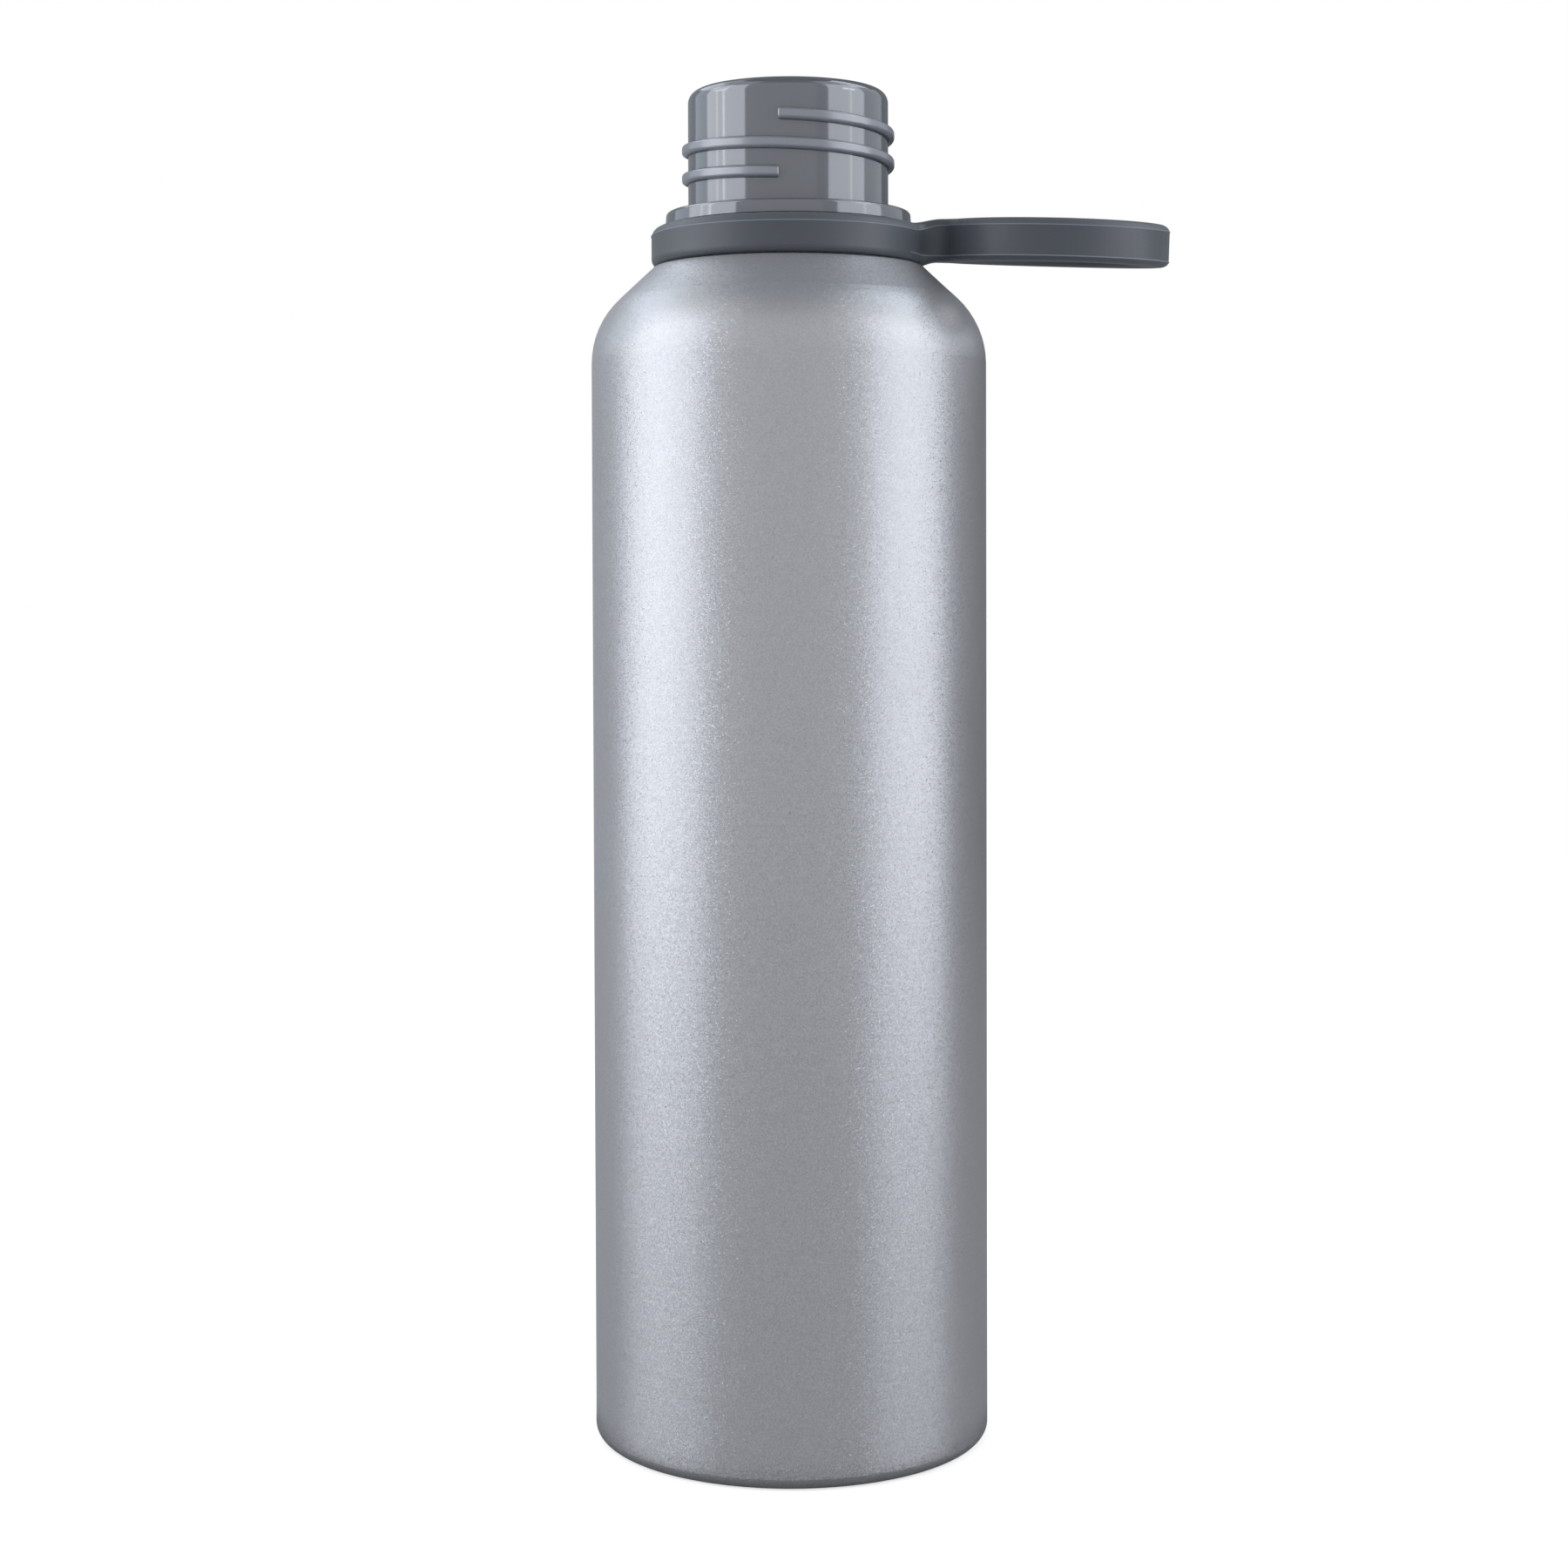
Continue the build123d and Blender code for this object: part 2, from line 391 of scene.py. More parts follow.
class StageSettings(PropertyGroup):
    """Camera and lamps."""

    distance: FloatProperty(
        name="Camera Distance",
        description="Distance of the camera from the bottle's axis",
        default=0.4795,
        min=0.1,
        unit="LENGTH",
        subtype="DISTANCE",
    )
    height: FloatProperty(
        name="Camera Height",
        description="Height of the camera above the floor",
        default=0.1525,
        unit="LENGTH",
        subtype="DISTANCE",
    )
    left_level: FloatProperty(
        name="Left Lamp",
        description="Brightness of the left softbox, where 1 is white",
        default=1.66,
        min=0.0,
    )
    right_level: FloatProperty(
        name="Right Lamp",
        description="Brightness of the right softbox, where 1 is white",
        default=1.45,
        min=0.0,
    )
    fill_level: FloatProperty(
        name="Fill Light",
        description="Even light from all round, where 1 is white",
        default=0.55,
        min=0.0,
    )


class BottleSettings(PropertyGroup):
    """All settings of the bottle."""

    coat: PointerProperty(type=CoatSettings)
    collar: PointerProperty(type=CollarSettings)
    strap: PointerProperty(type=StrapSettings)
    stage: PointerProperty(type=StageSettings)


# Nodes and materials


def add_node(tree, kind, values=None, **settings):
    """Add a node, set its properties, and set or link its inputs."""
    node = tree.nodes.new(kind)
    for name, value in settings.items():
        setattr(node, name, value)
    for name, value in (values or {}).items():
        if isinstance(value, bpy.types.NodeSocket):
            tree.links.new(value, node.inputs[name])
        else:
            node.inputs[name].default_value = value
    return node


def start_material(name):
    """Make a material that holds a Principled shader and its output."""
    material = bpy.data.materials.new(name)
    material.use_nodes = True
    tree = material.node_tree
    tree.nodes.clear()
    shader = add_node(tree, "ShaderNodeBsdfPrincipled")
    output = add_node(tree, "ShaderNodeOutputMaterial")
    tree.links.new(shader.outputs["BSDF"], output.inputs["Surface"])
    return material, tree, shader


def object_coordinates(tree):
    """Give the socket with the piece's own coordinates in metres."""
    return add_node(tree, "ShaderNodeTexCoord").outputs["Object"]


def start_group(name, inputs, outputs):
    """Make a node group with float inputs and typed outputs."""
    tree = bpy.data.node_groups.new(name, "ShaderNodeTree")
    for label, kind, default in inputs:
        socket = tree.interface.new_socket(name=label, in_out="INPUT", socket_type=kind)
        if default is not None:
            socket.default_value = default
    for label, kind in outputs:
        tree.interface.new_socket(name=label, in_out="OUTPUT", socket_type=kind)
    start = tree.nodes.new("NodeGroupInput").outputs
    end = tree.nodes.new("NodeGroupOutput").inputs
    return tree, start, end


def surface_variation():
    """Uneven gloss from handling: cloudy patches and fine mottling, as a roughness."""
    tree, start, end = start_group(
        "Surface Variation",
        [
            ("Vector", "NodeSocketVector", None),
            ("Patch Scale", "NodeSocketFloat", 60.0),
            ("Fine Scale", "NodeSocketFloat", 1500.0),
            ("Smooth", "NodeSocketFloat", 0.2),
            ("Rough", "NodeSocketFloat", 0.3),
        ],
        [("Roughness", "NodeSocketFloat"), ("Mottle", "NodeSocketFloat")],
    )
    patches = add_node(
        tree,
        "ShaderNodeTexNoise",
        {"Vector": start["Vector"], "Scale": start["Patch Scale"], "Detail": 3.0},
    )
    mottle = add_node(
        tree,
        "ShaderNodeTexNoise",
        {"Vector": start["Vector"], "Scale": start["Fine Scale"], "Detail": 2.0},
    )
    both = add_node(
        tree,
        "ShaderNodeMath",
        {0: patches.outputs["Fac"], 1: mottle.outputs["Fac"]},
        operation="ADD",
    )
    level = add_node(
        tree,
        "ShaderNodeMapRange",
        {
            "Value": both.outputs[0],
            "From Min": 0.7,
            "From Max": 1.3,
            "To Min": start["Smooth"],
            "To Max": start["Rough"],
        },
    )
    tree.links.new(level.outputs["Result"], end["Roughness"])
    tree.links.new(mottle.outputs["Fac"], end["Mottle"])
    return tree


def fine_dust():
    """Sparse pale specks of dust, as a mask."""
    tree, start, end = start_group(
        "Fine Dust",
        [
            ("Vector", "NodeSocketVector", None),
            ("Spacing Scale", "NodeSocketFloat", 400.0),
            ("Speck", "NodeSocketFloat", 0.06),
        ],
        [("Mask", "NodeSocketFloat")],
    )
    cells = add_node(
        tree,
        "ShaderNodeTexVoronoi",
        {"Vector": start["Vector"], "Scale": start["Spacing Scale"], "Randomness": 1.0},
    )
    speck = add_node(
        tree,
        "ShaderNodeMath",
        {0: cells.outputs["Distance"], 1: start["Speck"]},
        operation="LESS_THAN",
    )
    chance = add_node(tree, "ShaderNodeSeparateColor", {"Color": cells.outputs["Color"]})
    rare = add_node(
        tree, "ShaderNodeMath", {0: chance.outputs["Red"], 1: 0.93}, operation="GREATER_THAN"
    )
    mask = add_node(
        tree, "ShaderNodeMath", {0: speck.outputs[0], 1: rare.outputs[0]}, operation="MULTIPLY"
    )
    tree.links.new(mask.outputs[0], end["Mask"])
    return tree


def turned_grain():
    """Fine rings from drawing or turning steel about the bottle's axis, as a height."""
    tree, start, end = start_group(
        "Turned Grain",
        [("Vector", "NodeSocketVector", None), ("Ring Scale", "NodeSocketFloat", 3000.0)],
        [("Height", "NodeSocketFloat")],
    )
    place = add_node(tree, "ShaderNodeSeparateXYZ", {"Vector": start["Vector"]})
    across = add_node(
        tree,
        "ShaderNodeCombineXYZ",
        {"X": place.outputs["X"], "Y": place.outputs["Y"]},
    )
    radius = add_node(
        tree, "ShaderNodeVectorMath", {0: across.outputs[0]}, operation="LENGTH"
    )
    rings = add_node(
        tree,
        "ShaderNodeCombineXYZ",
        {"X": radius.outputs["Value"], "Z": place.outputs["Z"]},
    )
    grain = add_node(
        tree,
        "ShaderNodeTexNoise",
        {"Vector": rings.outputs[0], "Scale": start["Ring Scale"], "Detail": 3.0},
    )
    tree.links.new(grain.outputs["Fac"], end["Height"])
    return tree


GROUP_MAKERS = {
    "Surface Variation": surface_variation,
    "Fine Dust": fine_dust,
    "Turned Grain": turned_grain,
}


def add_group(tree, name, values):
    """Place a shared node group in a material, with its own values."""
    group = bpy.data.node_groups.get(name) or GROUP_MAKERS[name]()
    return add_node(tree, "ShaderNodeGroup", values, node_tree=group)


def shade_colour(tree, fac, dark, light):
    """Mix two shades of a colour by a mask."""
    values = {"Factor": fac, "A": dark + (1.0,), "B": light + (1.0,)}
    return add_node(tree, "ShaderNodeMix", values, data_type="RGBA").outputs["Result"]


def add_bump(tree, height, distance):
    """Turn a height in the range 0 to 1 into a normal."""
    values = {"Height": height, "Distance": distance, "Strength": 1.0}
    return add_node(tree, "ShaderNodeBump", values).outputs["Normal"]


def silver_coat(settings):
    """Satin silver coat: metal flakes at slightly different tilts."""
    material, tree, shader = start_material("Silver Coat")
    place = object_coordinates(tree)
    flakes = add_node(
        tree,
        "ShaderNodeTexVoronoi",
        {"Vector": place, "Scale": 1 / settings.flake_size, "Randomness": 1.0},
    )
    tilt = add_node(
        tree,
        "ShaderNodeVectorMath",
        {0: flakes.outputs["Color"], 1: (0.5, 0.5, 0.5)},
        operation="SUBTRACT",
    )
    shade = add_node(tree, "ShaderNodeSeparateColor", {"Color": flakes.outputs["Color"]})
    loose = add_node(
        tree,
        "ShaderNodeMapRange",
        {
            "Value": shade.outputs["Green"],
            "From Min": 0.88,
            "From Max": 0.9,
            "To Min": settings.flake_tilt,
            "To Max": settings.flake_tilt * 2.8,
        },
    )
    small_tilt = add_node(
        tree,
        "ShaderNodeVectorMath",
        {0: tilt.outputs[0], "Scale": loose.outputs["Result"]},
        operation="SCALE",
    )
    ripple_place = add_node(
        tree, "ShaderNodeMapping", {"Vector": place, "Scale": (60.0, 60.0, 900.0)}
    )
    ripple = add_node(
        tree,
        "ShaderNodeTexNoise",
        {"Vector": ripple_place.outputs[0], "Scale": 1.0, "Detail": 2.0},
    )
    waved = add_bump(tree, ripple.outputs["Fac"], 0.00002)
    bent = add_node(tree, "ShaderNodeVectorMath", {0: waved, 1: small_tilt.outputs[0]}, operation="ADD")
    normal = add_node(tree, "ShaderNodeVectorMath", {0: bent.outputs[0]}, operation="NORMALIZE")
    tone = add_node(
        tree,
        "ShaderNodeMapRange",
        {"Value": shade.outputs["Blue"], "To Min": 0.91, "To Max": 1.09},
    )
    marks = add_group(tree, "Fine Dust", {"Vector": place, "Spacing Scale": 60.0, "Speck": 0.012})
    clean = add_node(
        tree,
        "ShaderNodeMath",
        {0: marks.outputs["Mask"], 1: -0.45, 2: tone.outputs["Result"]},
        operation="MULTIPLY_ADD",
    )
    colour = add_node(
        tree,
        "ShaderNodeVectorMath",
        {0: tuple(settings.colour), "Scale": clean.outputs[0]},
        operation="SCALE",
    )
    gloss = add_group(
        tree,
        "Surface Variation",
        {
            "Vector": place,
            "Patch Scale": 40.0,
            "Fine Scale": 900.0,
            "Smooth": settings.roughness - 0.02,
            "Rough": settings.roughness + 0.02,
        },
    )
    tree.links.new(colour.outputs[0], shader.inputs["Base Color"])
    tree.links.new(gloss.outputs["Roughness"], shader.inputs["Roughness"])
    tree.links.new(normal.outputs[0], shader.inputs["Normal"])
    shader.inputs["Metallic"].default_value = settings.metal_share
    return material


def grey_plastic(name, settings, smooth, rough, lighten, speck):
    """Polished grey moulding with a slight haze and a little dust."""
    material, tree, shader = start_material(name)
    place = object_coordinates(tree)
    gloss = add_group(
        tree,
        "Surface Variation",
        {"Vector": place, "Patch Scale": 90.0, "Fine Scale": 1200.0, "Smooth": smooth, "Rough": rough},
    )
    dust = add_group(tree, "Fine Dust", {"Vector": place, "Spacing Scale": 420.0, "Speck": speck})
    # A lighten above 1 paints a lighter copy of the same plastic, as painted light.
    base = tuple(level * lighten for level in settings.colour) + (1.0,)
    colour = add_node(
        tree,
        "ShaderNodeMix",
        {"Factor": dust.outputs["Mask"], "A": base, "B": (0.45, 0.45, 0.46, 1.0)},
        data_type="RGBA",
    )
    tree.links.new(colour.outputs["Result"], shader.inputs["Base Color"])
    tree.links.new(gloss.outputs["Roughness"], shader.inputs["Roughness"])
    tree.links.new(
        add_bump(tree, gloss.outputs["Mottle"], 0.0000015), shader.inputs["Normal"]
    )
    shader.inputs["IOR"].default_value = 1.65
    shader.inputs["Specular IOR Level"].default_value = 1.0
    shader.inputs["Specular Tint"].default_value = (0.93, 0.95, 1.0, 1.0)
    return material


def strap_rubber(settings):
    """Matte moulded rubber with a fine eroded surface and sparse dust specks. Its mould line is painted paler as a
    painted highlight, and faces that point up are painted paler as painted light from above.
    """
    material, tree, shader = start_material("Strap Rubber")
    place = object_coordinates(tree)
    gloss = add_group(
        tree,
        "Surface Variation",
        {"Vector": place, "Patch Scale": 120.0, "Fine Scale": 3500.0, "Smooth": 0.42, "Rough": 0.56},
    )
    dust = add_group(tree, "Fine Dust", {"Vector": place, "Spacing Scale": 600.0, "Speck": 0.05})
    # Painted light: faces that point up are painted up to a fifth of the way to the paler rubber, standing in for
    # light from above.
    own = add_node(tree, "ShaderNodeTexCoord").outputs
    facing = add_node(tree, "ShaderNodeSeparateXYZ", {"Vector": own["Normal"]})
    painted_top_light = add_node(
        tree,
        "ShaderNodeMapRange",
        {"Value": facing.outputs["Z"], "From Min": 0.2, "From Max": 0.9, "To Min": 0.0, "To Max": 0.2},
    )
    # Painted highlight: the raised mould line's points are painted fully in the paler rubber, standing in for the
    # highlight along it.
    line = add_node(tree, "ShaderNodeAttribute", attribute_name="seam")
    pale = add_node(
        tree, "ShaderNodeMath", {0: line.outputs["Fac"], 1: painted_top_light.outputs["Result"]}, operation="MAXIMUM"
    )
    # The paler rubber is 2.8 times the rubber's colour; this mix carries the painted highlight and the painted
    # light from above.
    rubber_with_painted_light = add_node(
        tree,
        "ShaderNodeMix",
        {
            "Factor": pale.outputs[0],
            "A": tuple(settings.colour) + (1.0,),
            "B": tuple(level * 2.8 for level in settings.colour) + (1.0,),
        },
        data_type="RGBA",
    )
    colour = add_node(
        tree,
        "ShaderNodeMix",
        {"Factor": dust.outputs["Mask"], "A": rubber_with_painted_light.outputs["Result"], "B": (0.2, 0.2, 0.21, 1.0)},
        data_type="RGBA",
    )
    tree.links.new(colour.outputs["Result"], shader.inputs["Base Color"])
    tree.links.new(gloss.outputs["Roughness"], shader.inputs["Roughness"])
    tree.links.new(
        add_bump(tree, gloss.outputs["Mottle"], 0.00001), shader.inputs["Normal"]
    )
    shader.inputs["IOR"].default_value = 1.52
    shader.inputs["Sheen Weight"].default_value = 0.12
    shader.inputs["Sheen Roughness"].default_value = 0.4
    return material


def turned_steel(name, smooth, rough, depth):
    """Bare stainless steel with rings from forming."""
    material, tree, shader = start_material(name)
    place = object_coordinates(tree)
    grain = add_group(tree, "Turned Grain", {"Vector": place, "Ring Scale": 3000.0})
    gloss = add_group(
        tree,
        "Surface Variation",
        {"Vector": place, "Patch Scale": 50.0, "Fine Scale": 1500.0, "Smooth": smooth, "Rough": rough},
    )
    tree.links.new(gloss.outputs["Roughness"], shader.inputs["Roughness"])
    tree.links.new(add_bump(tree, grain.outputs["Height"], depth), shader.inputs["Normal"])
    tint = shade_colour(tree, grain.outputs["Height"], (0.52, 0.51, 0.5), (0.68, 0.67, 0.66))
    tree.links.new(tint, shader.inputs["Base Color"])
    shader.inputs["Metallic"].default_value = 1.0
    return material


def clear_silicone():
    """Milky silicone washer."""
    material, tree, shader = start_material("Clear Silicone")
    place = object_coordinates(tree)
    gloss = add_group(
        tree,
        "Surface Variation",
        {"Vector": place, "Patch Scale": 200.0, "Fine Scale": 2500.0, "Smooth": 0.35, "Rough": 0.5},
    )
    tree.links.new(gloss.outputs["Roughness"], shader.inputs["Roughness"])
    tint = shade_colour(tree, gloss.outputs["Mottle"], (0.68, 0.68, 0.65), (0.76, 0.76, 0.75))
    tree.links.new(tint, shader.inputs["Base Color"])
    shader.inputs["Subsurface Weight"].default_value = 0.3
    shader.inputs["Subsurface Radius"].default_value = (0.6, 0.6, 0.6)
    shader.inputs["Subsurface Scale"].default_value = 0.0005
    return material


def solder_glass():
    """Dark fused glass bead with small pores."""
    material, tree, shader = start_material("Solder Glass")
    place = object_coordinates(tree)
    gloss = add_group(
        tree,
        "Surface Variation",
        {"Vector": place, "Patch Scale": 500.0, "Fine Scale": 4000.0, "Smooth": 0.08, "Rough": 0.25},
    )
    tree.links.new(gloss.outputs["Roughness"], shader.inputs["Roughness"])
    tree.links.new(
        add_bump(tree, gloss.outputs["Mottle"], 0.00004), shader.inputs["Normal"]
    )
    tint = shade_colour(tree, gloss.outputs["Mottle"], (0.035, 0.04, 0.035), (0.07, 0.075, 0.065))
    tree.links.new(tint, shader.inputs["Base Color"])
    return material


def getter_alloy():
    """Pressed metal powder."""
    material, tree, shader = start_material("Getter Alloy")
    place = object_coordinates(tree)
    gloss = add_group(
        tree,
        "Surface Variation",
        {"Vector": place, "Patch Scale": 400.0, "Fine Scale": 6000.0, "Smooth": 0.55, "Rough": 0.75},
    )
    tree.links.new(gloss.outputs["Roughness"], shader.inputs["Roughness"])
    tree.links.new(
        add_bump(tree, gloss.outputs["Mottle"], 0.00006), shader.inputs["Normal"]
    )
    tint = shade_colour(tree, gloss.outputs["Mottle"], (0.34, 0.34, 0.35), (0.5, 0.5, 0.51))
    tree.links.new(tint, shader.inputs["Base Color"])
    shader.inputs["Metallic"].default_value = 0.85
    return material


def dress(node, material):
    """Give a CAD node its material."""
    slots = frame["nodes"][node].material_slots
    for slot in slots:
        slot.material = material
    if not slots:
        frame["nodes"][node].data.materials.append(material)


# Meshes


def turn_point(bm, point, centre, angle, steps):
    """Turn a point about a centre in plan, and give the arc's last point."""
    made = bmesh.ops.spin(bm, geom=[point], cent=centre, axis=(0, 0, 1), angle=angle, steps=steps)
    return [item for item in made["geom_last"] if isinstance(item, bmesh.types.BMVert)][0]


def finish_piece(bm, name, material, body):
    """Turn a bmesh into a smooth piece that rides on a body."""
    bmesh.ops.remove_doubles(bm, verts=bm.verts, dist=0.000002)
    bmesh.ops.recalc_face_normals(bm, faces=bm.faces)
    mesh = bpy.data.meshes.new(name)
    bm.to_mesh(mesh)
    bm.free()
    mesh.materials.append(material)
    mesh.polygons.foreach_set("use_smooth", [True] * len(mesh.polygons))
    piece = bpy.data.objects.new(name, mesh)
    bpy.context.scene.collection.objects.link(piece)
    if body:
        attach(piece, body)
    return piece


def keep_flats(piece):
    """Shade a piece's wide faces flat up to their rounded edges."""
    normals = piece.modifiers.new("Flat Faces", "WEIGHTED_NORMAL")
    normals.keep_sharp = True


class BOTTLE_OT_body(Operator):
    """Coat the shell and the base cup; their weld is ground flush under the coat"""

    bl_idname = "bottle.body"
    bl_label = "Coated Body"

    def execute(self, context):
        coat = silver_coat(context.scene.bottle.coat)
        dress("outer_shell", coat)
        dress("outer_base", coat)
        return {"FINISHED"}


class BOTTLE_OT_collar(Operator):
    """Finish the neck collar and wind its cap thread"""

    bl_idname = "bottle.collar"
    bl_label = "Neck Collar"

    def execute(self, context):
        settings = context.scene.bottle.collar
        dress("neck_collar", grey_plastic("Collar Plastic", settings, 0.07, 0.12, 1.0, 0.035))
        half = settings.thread_width / 2
        sunk = settings.thread_proud * THREAD_SUNK
        bm = bmesh.new()
        bmesh.ops.create_circle(bm, segments=4, radius=math.sqrt(0.5), cap_ends=True)
        square = Matrix.Rotation(math.radians(45), 4, "Z")
        bmesh.ops.transform(bm, matrix=square, verts=bm.verts)
        bmesh.ops.scale(bm, verts=bm.verts, vec=(settings.thread_proud + sunk, 2 * half, 1))
        crest = [point for point in bm.verts if point.co.x > 0]
        bmesh.ops.scale(bm, verts=crest, vec=(1, settings.thread_crest, 1))
        bmesh.ops.bevel(
            bm,
            geom=crest,
            affect="VERTICES",
            offset=settings.thread_proud * THREAD_ROUNDING,
            segments=5,
            profile=0.5,
            material=-1,
        )
        bmesh.ops.delete(bm, geom=bm.faces[:], context="FACES_ONLY")
        upright = Matrix.Rotation(math.radians(90), 4, "X")
        stand = Matrix.Translation((FINISH_RADIUS + (settings.thread_proud - sunk) / 2, 0, 0))
        bmesh.ops.transform(bm, matrix=stand @ upright, verts=bm.verts)
        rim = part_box("neck_collar")[1].z
        start = Matrix.Rotation(settings.thread_angle, 4, "Z") @ Matrix.Translation(
            (0, 0, rim - settings.thread_top)
        )
        bmesh.ops.transform(bm, matrix=start, verts=bm.verts)
        steps = round(settings.thread_turns * THREAD_STEPS_PER_TURN)
        drop = settings.thread_pitch * settings.thread_turns / steps
        bmesh.ops.spin(
            bm,
            geom=bm.verts[:] + bm.edges[:],
            cent=(0, 0, 0),
            axis=(0, 0, 1),
            dvec=(0, 0, -drop),
            angle=math.tau * settings.thread_turns,
            steps=steps,
        )
        ends = [edge for edge in bm.edges if edge.is_boundary]
        caps = bmesh.ops.holes_fill(bm, edges=ends, sides=0)["faces"]
        bmesh.ops.recalc_face_normals(bm, faces=bm.faces)
        for inset, rise in THREAD_END_STEPS:
            bmesh.ops.inset_region(
                bm,
                faces=caps,
                thickness=inset * settings.thread_proud,
                depth=rise * settings.thread_proud,
                use_even_offset=True,
            )
        # The thread is the collar's plastic with a satin gloss, painted 1.9 times lighter as painted light on its
        # ridge.
        satin_painted_lighter = grey_plastic("Thread Plastic", settings, 0.23, 0.26, 1.9, 0.01)
        thread = finish_piece(bm, "cap_thread", satin_painted_lighter, "bottle")
        keep_flats(thread)
        return {"FINISHED"}


class StrapPlan:
    """The strap seen from above: two rings joined by a filleted waist."""

    def __init__(self, settings):
        self.fillet = settings.waist_fillet
        self.loop_radius = LOOP_HOLE_RADIUS + settings.loop_width
        self.loop_x = RING_RADIUS + settings.web_gap + self.loop_radius
        ring_reach = RING_RADIUS + self.fillet
        loop_reach = self.loop_radius + self.fillet
        self.waist_x = (ring_reach**2 - loop_reach**2 + self.loop_x**2) / (2 * self.loop_x)
        self.waist_y = math.sqrt(ring_reach**2 - self.waist_x**2)
        self.ring_turn = math.atan2(self.waist_y, self.waist_x)
        self.loop_turn = math.atan2(self.waist_y, self.loop_x - self.waist_x)
        self.half_length = settings.web_half_length
        self.rise_x = self.waist_x - settings.web_shift

    def share(self, x):
        """Ease from the ring at 0 to the loop at 1 across the waist."""
        share = (x - self.rise_x + self.half_length) / (2 * self.half_length)
        share = min(max(share, 0), 1)
        return share * share * (3 - 2 * share)

    def outward(self, place):
        """Direction out of the strap's edge in plan."""
        x, y = place.x, place.y
        if abs(math.atan2(y, x)) >= self.ring_turn - 1e-4 and x < self.waist_x:
            return Vector((x, y, 0)).normalized()
        if abs(math.atan2(y, self.loop_x - x)) >= self.loop_turn - 1e-4 and x > self.waist_x:
            return Vector((x - self.loop_x, y, 0)).normalized()
        side = math.copysign(self.waist_y, y)
        return Vector((self.waist_x - x, side - y, 0)).normalized()

    def draw(self, bm):
        """Draw the closed outline with four arcs, and give its edges."""
        ring = (0, 0, 0)
        loop = (self.loop_x, 0, 0)
        near = (self.waist_x, -self.waist_y, 0)
        far = (self.waist_x, self.waist_y, 0)
        waist_turn = math.pi - self.ring_turn - self.loop_turn
        first = bm.verts.new(
            (RING_RADIUS * math.cos(self.ring_turn), RING_RADIUS * math.sin(self.ring_turn), 0)
        )
        point = turn_point(bm, first, ring, math.tau - 2 * self.ring_turn, RING_STEPS)
        point = turn_point(bm, point, near, -waist_turn, WAIST_STEPS)
        point = turn_point(bm, point, loop, math.tau - 2 * self.loop_turn, LOOP_STEPS)
        turn_point(bm, point, far, -waist_turn, WAIST_STEPS)
        bmesh.ops.remove_doubles(bm, verts=bm.verts, dist=0.00001)
        return bm.edges[:]


# Rows of the strap's edge from the bottom face to the top face: how far each lies in from the
# wall, and its height from the nearer face, as a part of the edge's own width and height.
FOOT_ROWS = ((1.0, 0.0), (0.62, 0.08), (0.29, 0.29), (0.08, 0.62), (0.0, 1.0))
BEVEL_ROWS = ((1.0, 0.0), (0.7, 0.06), (0.41, 0.25), (0.17, 0.56), (0.0, 1.0))


def extrude_loop(bm, edges, move):
    """Extrude a loop of edges and move each new point."""
    made = bmesh.ops.extrude_edge_only(bm, edges=edges)["geom"]
    for point in made:
        if isinstance(point, bmesh.types.BMVert):
            point.co += move(point.co)
    return [item for item in made if isinstance(item, bmesh.types.BMEdge) and item.is_boundary]


def strap_rows(settings, plan, x):
    """Give the edge's rows at one place along the strap, as insets and heights."""
    half = settings.thickness / 2
    share = plan.share(x)

    def mixed(ring, loop):
        return ring * (1 - share) + loop * share

    top = half + settings.loop_extra * share
    rows = []
    for ring_row, loop_row in zip(FOOT_ROWS, BEVEL_ROWS):
        inset = mixed(ring_row[0] * settings.ring_foot, loop_row[0] * settings.loop_bevel)
        height = mixed(ring_row[1] * settings.ring_foot, loop_row[1] * settings.loop_bevel_height)
        rows.append((inset, height - half))
    seam = settings.seam_line
    low = rows[-1][1]
    rows += [(-seam * share, low + seam), (-seam * share, low + 2 * seam), (0, low + 3 * seam)]
    high = top - mixed(settings.ring_bevel_height, settings.loop_bevel_height * UPPER_SLOPE)
    rows += [(0, high - 3 * seam), (-seam, high - 2 * seam), (-seam, high - seam)]
    for part, rise in reversed(BEVEL_ROWS):
        inset = part * mixed(settings.ring_bevel, settings.loop_bevel)
        height = rise * mixed(settings.ring_bevel_height, settings.loop_bevel_height * UPPER_SLOPE)
        rows.append((inset, top - height))
    return rows


def hole_walls(bm, centre_x, radius, half, extra, bevel_width, bevel_height):
    """Line a round hole from its top edge to its bottom edge, and give both edges."""
    circle = bmesh.ops.create_circle(
        bm,
        segments=HOLE_STEPS,
        radius=radius + bevel_width,
        matrix=Matrix.Translation((centre_x, 0, half + extra)),
    )
    top = list({edge for point in circle["verts"] for edge in point.link_edges})
    slopes = [(part * bevel_width, half - rise * bevel_height) for part, rise in BEVEL_ROWS]
    rows = [(inset, height + extra) for inset, height in slopes]
    rows += [(inset, -height) for inset, height in reversed(slopes)]
    edges = top
    for before, after in zip(rows, rows[1:]):

        def step(place, inward=before[0] - after[0], drop=before[1] - after[1]):
            arm = Vector((centre_x - place.x, -place.y, 0)).normalized()
            return arm * inward - Vector((0, 0, drop))

        edges = extrude_loop(bm, edges, step)
    return top, edges


